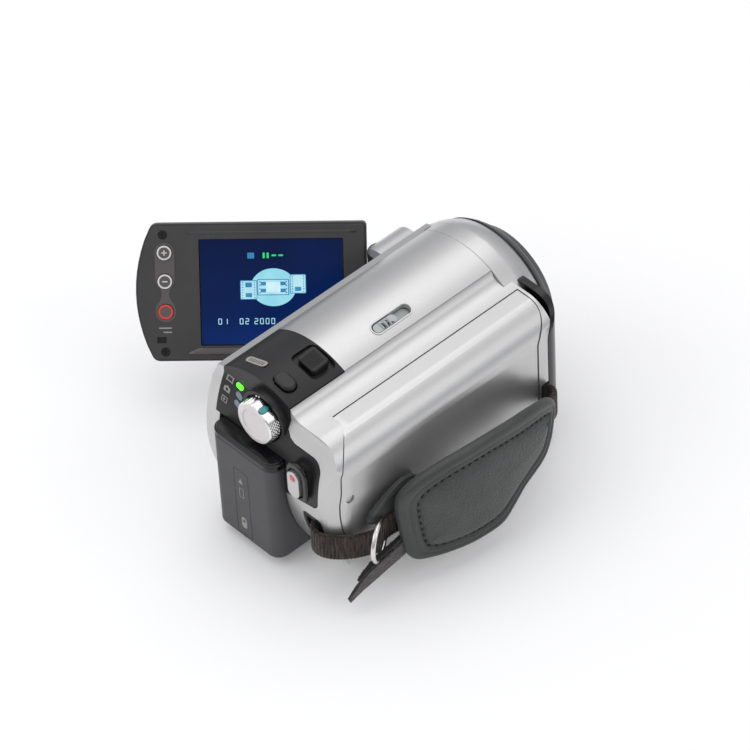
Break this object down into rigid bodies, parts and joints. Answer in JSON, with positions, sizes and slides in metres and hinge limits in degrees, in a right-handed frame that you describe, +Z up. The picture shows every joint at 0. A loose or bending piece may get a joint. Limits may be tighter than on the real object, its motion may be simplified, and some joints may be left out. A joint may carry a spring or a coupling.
{
  "type": "camcorder",
  "caption": "Hand-held hard-disk camcorder with swing-out tilting screen, arched top, rear mode dial, clip-on battery and padded leather hand strap",
  "frame": {"origin": "centre of the tripod socket's mouth, in the flat bottom face, under the lens axis", "axes": "+Y forward along the lens, +X towards the strap side, +Z up"},
  "size_m": [0.1589, 0.1289, 0.0752],
  "materials": {
    "silver_paint": "satin silver metallic paint on moulded shells",
    "charcoal_plastic": "dark grey fine-textured plastic",
    "black_plastic": "matte black moulded plastic",
    "black_gloss": "semi-gloss black plastic",
    "steel": "plain steel",
    "lens_glass": "coated optical glass",
    "circuit_board": "green circuit board",
    "damper_rubber": "soft black rubber",
    "dark_window": "dark red infrared window",
    "bush_brass": "turned brass",
    "green_light": "lit green light pipe",
    "dial_chrome": "bright plated rim with a satin white face",
    "teal_key": "teal plastic",
    "red_mark": "red plastic",
    "grey_key": "grey plastic",
    "screen": "lit display under a clear cover",
    "light_guide": "white light guide",
    "webbing": "ribbed dark brown nylon webbing",
    "ring_chrome": "polished plated steel",
    "pad_leather": "dark grey-green grained leather"
  },
  "bodies": {
    "camera_body": {"left_shell": "silver_paint", "top_cover": "silver_paint", "right_shell": "silver_paint", "drive_cover": "silver_paint", "front_cover": "charcoal_plastic", "bottom_plate": "black_plastic", "control_panel": "black_gloss", "battery_bay": "black_plastic", "contact_block": "black_plastic", "hinge_housing": "silver_paint", "chassis_frame": "steel", "lens_barrel": "silver_paint", "lens_front_ring": "black_gloss", "lens_tube": "black_plastic", "front_lens": "lens_glass", "image_sensor": "circuit_board", "main_board": "circuit_board", "hard_drive": "steel", "drive_dampers": "damper_rubber", "speaker": "black_plastic", "microphone_grille": "charcoal_plastic", "infrared_window": "dark_window", "tripod_bush": "bush_brass", "indicator_lights": "green_light", "hinge_pin": "steel", "strap_socket": "black_plastic", "strap_bar": "steel", "rear_webbing": "webbing", "front_webbing": "webbing", "strap_ring": "ring_chrome", "strap_tail": "webbing", "strap_pad": "pad_leather", "body_screws": "steel"},
    "zoom_group": {"zoom_lens": "lens_glass"},
    "focus_group": {"focus_lens": "lens_glass"},
    "dial": {"mode_dial": "dial_chrome"},
    "dial_key": {"dial_button": "teal_key"},
    "record_key": {"record_button": "silver_paint", "record_mark": "red_mark"},
    "photo_key": {"photo_button": "black_gloss"},
    "zoom_rocker": {"zoom_lever": "black_gloss"},
    "night_slider": {"night_switch": "grey_key"},
    "easy_key": {"easy_button": "black_gloss"},
    "display_key": {"display_button": "black_gloss"},
    "latch": {"battery_latch": "black_plastic"},
    "battery": {"battery_case": "charcoal_plastic", "battery_cap": "black_gloss"},
    "screen_hinge": {"hinge_block": "steel", "tilt_shaft": "steel"},
    "screen_clutch": {"tilt_sleeve": "steel"},
    "screen_panel": {"screen_bezel": "charcoal_plastic", "screen_back": "silver_paint", "screen_glass": "screen", "screen_backlight": "light_guide", "panel_screws": "steel"},
    "wide_key": {"wide_button": "charcoal_plastic"},
    "tele_key": {"tele_button": "charcoal_plastic"},
    "screen_record_key": {"screen_record_button": "red_mark"}
  },
  "joints": [
    {"name": "screen_open", "type": "hinge", "parent": "camera_body", "child": "screen_hinge", "pos_m": [-0.0295, 0.0303, 0.0399], "axis": [0, 0, -1], "range_deg": [-45, 45]},
    {"name": "screen_tilt", "type": "hinge", "parent": "screen_hinge", "child": "screen_clutch", "pos_m": [-0.0295, 0.0303, 0.0399], "axis": [0.7071, 0.7071, 0], "range_deg": [0, 57]},
    {"name": "screen_level", "type": "hinge", "parent": "screen_clutch", "child": "screen_panel", "pos_m": [-0.0295, 0.0303, 0.0399], "axis": [-0.7071, -0.7071, 0], "range_deg": [-32.5, 32.5]},
    {"name": "wide_press", "type": "slide", "parent": "screen_panel", "child": "wide_key", "axis": [-0.5964, 0.5964, -0.5373], "range_m": [0, 0.0004], "stiffness_N_per_m": 300, "springref_m": -0.0004},
    {"name": "tele_press", "type": "slide", "parent": "screen_panel", "child": "tele_key", "axis": [-0.5964, 0.5964, -0.5373], "range_m": [0, 0.0004], "stiffness_N_per_m": 300, "springref_m": -0.0004},
    {"name": "screen_record_press", "type": "slide", "parent": "screen_panel", "child": "screen_record_key", "axis": [-0.5964, 0.5964, -0.5373], "range_m": [0, 0.0004], "stiffness_N_per_m": 300, "springref_m": -0.0004},
    {"name": "dial_turn", "type": "hinge", "parent": "camera_body", "child": "dial", "pos_m": [0.0037, -0.057, 0.0597], "axis": [0, 1, 0], "range_deg": [-30, 30]},
    {"name": "dial_key_press", "type": "slide", "parent": "dial", "child": "dial_key", "axis": [-0.3907, 0, -0.9205], "range_m": [0, 0.0006], "stiffness_N_per_m": 300, "springref_m": -0.0004},
    {"name": "record_press", "type": "slide", "parent": "camera_body", "child": "record_key", "axis": [0, 1, 0], "range_m": [0, 0.001], "stiffness_N_per_m": 300, "springref_m": -0.0004},
    {"name": "photo_press", "type": "slide", "parent": "camera_body", "child": "photo_key", "axis": [-0.2013, 0, -0.9795], "range_m": [0, 0.0008], "stiffness_N_per_m": 300, "springref_m": -0.0004},
    {"name": "zoom_rock", "type": "hinge", "parent": "camera_body", "child": "zoom_rocker", "pos_m": [0, -0.0334, 0.041], "axis": [0, 1, 0], "range_deg": [-3.4, 3.4], "stiffness_Nm_per_rad": 0.3},
    {"name": "night_slide", "type": "slide", "parent": "camera_body", "child": "night_slider", "axis": [0, 1, 0], "range_m": [0, 0.0055]},
    {"name": "easy_press", "type": "slide", "parent": "camera_body", "child": "easy_key", "axis": [1, 0, 0], "range_m": [0, 0.0006], "stiffness_N_per_m": 300, "springref_m": -0.0004},
    {"name": "display_press", "type": "slide", "parent": "camera_body", "child": "display_key", "axis": [1, 0, 0], "range_m": [0, 0.0006], "stiffness_N_per_m": 300, "springref_m": -0.0004},
    {"name": "latch_slide", "type": "slide", "parent": "camera_body", "child": "latch", "axis": [0, 1, 0], "range_m": [0, 0.0025], "stiffness_N_per_m": 250, "springref_m": -0.0008},
    {"name": "battery_slide", "type": "slide", "parent": "camera_body", "child": "battery", "axis": [0, -1, 0], "range_m": [0, 0.03]},
    {"name": "zoom_travel", "type": "slide", "parent": "camera_body", "child": "zoom_group", "axis": [0, -1, 0], "range_m": [0, 0.014]},
    {"name": "focus_travel", "type": "slide", "parent": "camera_body", "child": "focus_group", "axis": [0, -1, 0], "range_m": [0, 0.008]}
  ],
  "couplings": [
    {"joint": "screen_level", "follows": "screen_open", "ratio": 0.72222}
  ]
}
